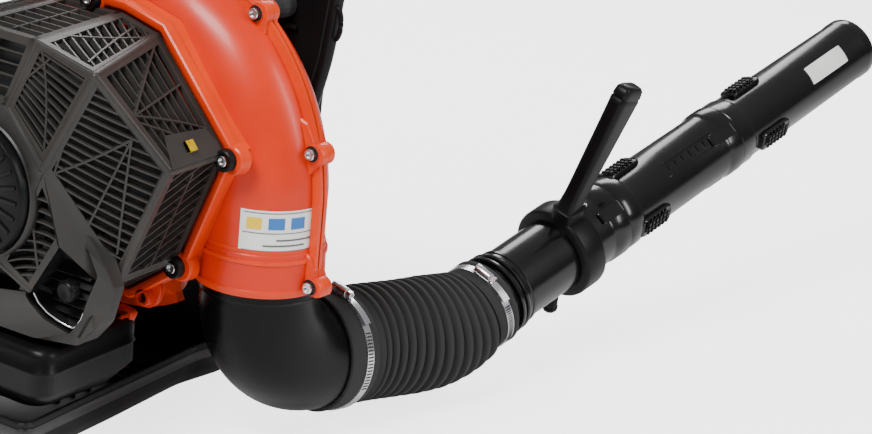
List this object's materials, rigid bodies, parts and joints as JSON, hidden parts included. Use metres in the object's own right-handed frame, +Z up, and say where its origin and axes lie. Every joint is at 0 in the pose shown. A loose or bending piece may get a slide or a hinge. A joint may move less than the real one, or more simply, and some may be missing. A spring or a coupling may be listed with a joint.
{
  "type": "backpack leaf blower",
  "caption": "Petrol backpack blower: frame with padded harness, faceted engine guard, volute fan housing, elbow, ribbed bellows and a handled blower tube",
  "frame": {"origin": "on the ground, directly below the fan and crankshaft axis, in the fan housing's seam plane", "axes": "+Z up, +Y the way the wearer faces and the blower tube points, +X towards the outlet side"},
  "size_m": [0.5191, 1.1528, 0.484],
  "materials": {
    "orange": "moulded orange nylon, semi gloss",
    "black_plastic": "fine textured moulding",
    "tank_plastic": "satin blow moulding",
    "fan_plastic": "moulded nylon",
    "steel": "plated steel",
    "muffler_steel": "heat dulled steel",
    "alloy": "die cast",
    "charcoal_plastic": "satin moulding",
    "cover_plastic": "textured dark grey moulding",
    "bellows_rubber": "satin flexible elastomer",
    "soft_grip": "soft grip",
    "isolator_rubber": "matt rubber",
    "tube_plastic": "glossy black blow moulding",
    "pad_fabric": "woven polyester over foam",
    "rope": "braided cord",
    "red_plastic": "moulded",
    "bulb": "clear soft bulb"
  },
  "bodies": {
    "machine": {"air_cleaner": "black_plastic", "back_frame": "black_plastic", "back_pad": "pad_fabric", "base_tray": "black_plastic", "bellows_rear": "bellows_rubber", "carburettor": "alloy", "clamp_large": "steel", "crankcase": "alloy", "cylinder": "alloy", "elbow": "charcoal_plastic", "engine_cover": "cover_plastic", "exhaust_knob": "black_plastic", "exhaust_shroud": "charcoal_plastic", "fuel_tank": "tank_plastic", "ignition_coil": "black_plastic", "intake_guard": "black_plastic", "intake_manifold": "black_plastic", "isolator_lower_left": "isolator_rubber", "isolator_upper_left": "isolator_rubber", "isolator_upper_right": "isolator_rubber", "muffler": "muffler_steel", "seam_screw_lower": "steel", "seam_screw_middle": "steel", "seam_screw_upper": "steel", "shoulder_strap_left": "pad_fabric", "shoulder_strap_right": "pad_fabric", "spark_plug_boot": "soft_grip", "starter_housing": "black_plastic", "strap_anchor_left": "black_plastic", "strap_anchor_right": "black_plastic", "throttle_bracket": "black_plastic", "volute_front": "orange", "volute_rear": "orange"},
    "rotor": {"impeller": "fan_plastic", "crankshaft": "steel", "flywheel": "alloy", "flywheel_nut": "steel"},
    "piston": {"piston": "alloy"},
    "reel": {"starter_reel": "fan_plastic"},
    "starter_pull": {"starter_grip": "soft_grip", "starter_rope": "rope"},
    "bellows_mid": {"bellows_ring": "bellows_rubber"},
    "bellows_end": {"bellows_front": "bellows_rubber", "clamp_small": "steel"},
    "swivel": {"swivel_pipe": "tube_plastic", "pipe_lock_peg": "steel"},
    "handle_mount": {"handle_ring": "black_plastic", "handle_bar": "black_plastic"},
    "lock_knob": {"handle_lock_knob": "black_plastic"},
    "middle": {"middle_pipe": "tube_plastic"},
    "nozzle_body": {"nozzle": "tube_plastic"},
    "cap": {"fuel_cap": "black_plastic"},
    "filter_knob": {"air_cleaner_knob": "black_plastic"},
    "purge": {"purge_bulb": "bulb"},
    "choke": {"choke_lever": "black_plastic"},
    "hip_arm": {"throttle_arm": "black_plastic", "throttle_grip": "soft_grip"},
    "trigger": {"throttle_trigger": "black_plastic"},
    "stop_button": {"stop_switch": "red_plastic"}
  },
  "joints": [
    {"name": "rotor_spin", "type": "hinge", "parent": "machine", "child": "rotor", "pos_m": [0, 0, 0.263], "axis": [0, 1, 0], "continuous": true},
    {"name": "piston_stroke", "type": "slide", "parent": "machine", "child": "piston", "axis": [0, 0, 1], "range_m": [0, 0.03]},
    {"name": "reel_spin", "type": "hinge", "parent": "machine", "child": "reel", "pos_m": [0, -0.2, 0.263], "axis": [0, 1, 0], "range_deg": [0, 40], "stiffness_Nm_per_rad": 0.05},
    {"name": "starter_pull_slide", "type": "slide", "parent": "machine", "child": "starter_pull", "axis": [0, -1, 0], "range_m": [0, 0.0302]},
    {"name": "bellows_swing", "type": "hinge", "parent": "machine", "child": "bellows_mid", "pos_m": [0.19412, 0.20134, 0.06758], "axis": [0, 0, 1], "range_deg": [-20, 20], "deforming": ["bellows_rear"]},
    {"name": "bellows_lift", "type": "hinge", "parent": "bellows_mid", "child": "bellows_end", "pos_m": [0.19412, 0.20134, 0.06758], "axis": [0.9903, -0.1392, 0], "range_deg": [-8, 20], "deforming": ["bellows_front"]},
    {"name": "pipe_swivel", "type": "hinge", "parent": "bellows_end", "child": "swivel", "pos_m": [0.2175, 0.312, 0.0872], "axis": [0.1327, 0.9444, 0.3007], "range_deg": [-90, 90]},
    {"name": "handle_slide", "type": "slide", "parent": "swivel", "child": "handle_mount", "axis": [0.1327, 0.9444, 0.3007], "range_m": [-0.07, 0.01]},
    {"name": "lock_knob_turn", "type": "hinge", "parent": "handle_mount", "child": "lock_knob", "pos_m": [0.21631, 0.43745, 0.06618], "axis": [-0.2662, 0.3262, -0.907], "range_deg": [0, 360]},
    {"name": "middle_twist", "type": "hinge", "parent": "swivel", "child": "middle", "pos_m": [0.24113, 0.48011, 0.14073], "axis": [0.1327, 0.9444, 0.3007], "range_deg": [0, 25]},
    {"name": "nozzle_twist", "type": "hinge", "parent": "middle", "child": "nozzle_body", "pos_m": [0.26714, 0.66522, 0.19966], "axis": [0.1327, 0.9444, 0.3007], "range_deg": [0, 25]},
    {"name": "fuel_cap_turn", "type": "hinge", "parent": "machine", "child": "cap", "pos_m": [-0.078, -0.15, 0.1], "axis": [0, 0, 1], "range_deg": [0, 540]},
    {"name": "filter_knob_turn", "type": "hinge", "parent": "machine", "child": "filter_knob", "pos_m": [-0.08, -0.1203, 0.302], "axis": [0, -1, 0], "range_deg": [0, 360]},
    {"name": "purge_press", "type": "slide", "parent": "machine", "child": "purge", "axis": [0, 1, 0], "range_m": [0, 0.0035], "stiffness_N_per_m": 200},
    {"name": "choke_pull", "type": "slide", "parent": "machine", "child": "choke", "axis": [-1, 0, 0], "range_m": [0, 0.012]},
    {"name": "hip_arm_fold", "type": "hinge", "parent": "machine", "child": "hip_arm", "pos_m": [-0.15, 0.096, 0.23], "axis": [1, 0, 0], "range_deg": [0, 85]},
    {"name": "trigger_squeeze", "type": "hinge", "parent": "hip_arm", "child": "trigger", "pos_m": [-0.157, 0.258, 0.25], "axis": [1, 0, 0], "range_deg": [0, 8], "stiffness_Nm_per_rad": 0.2, "springref_deg": -11.46},
    {"name": "stop_press", "type": "slide", "parent": "hip_arm", "child": "stop_button", "axis": [0, 0, -1], "range_m": [0, 0.0038], "stiffness_N_per_m": 200, "springref_m": -0.001}
  ],
  "couplings": [
    {"joint": "starter_pull_slide", "follows": "reel_spin", "m_per_rad": 0.043}
  ]
}
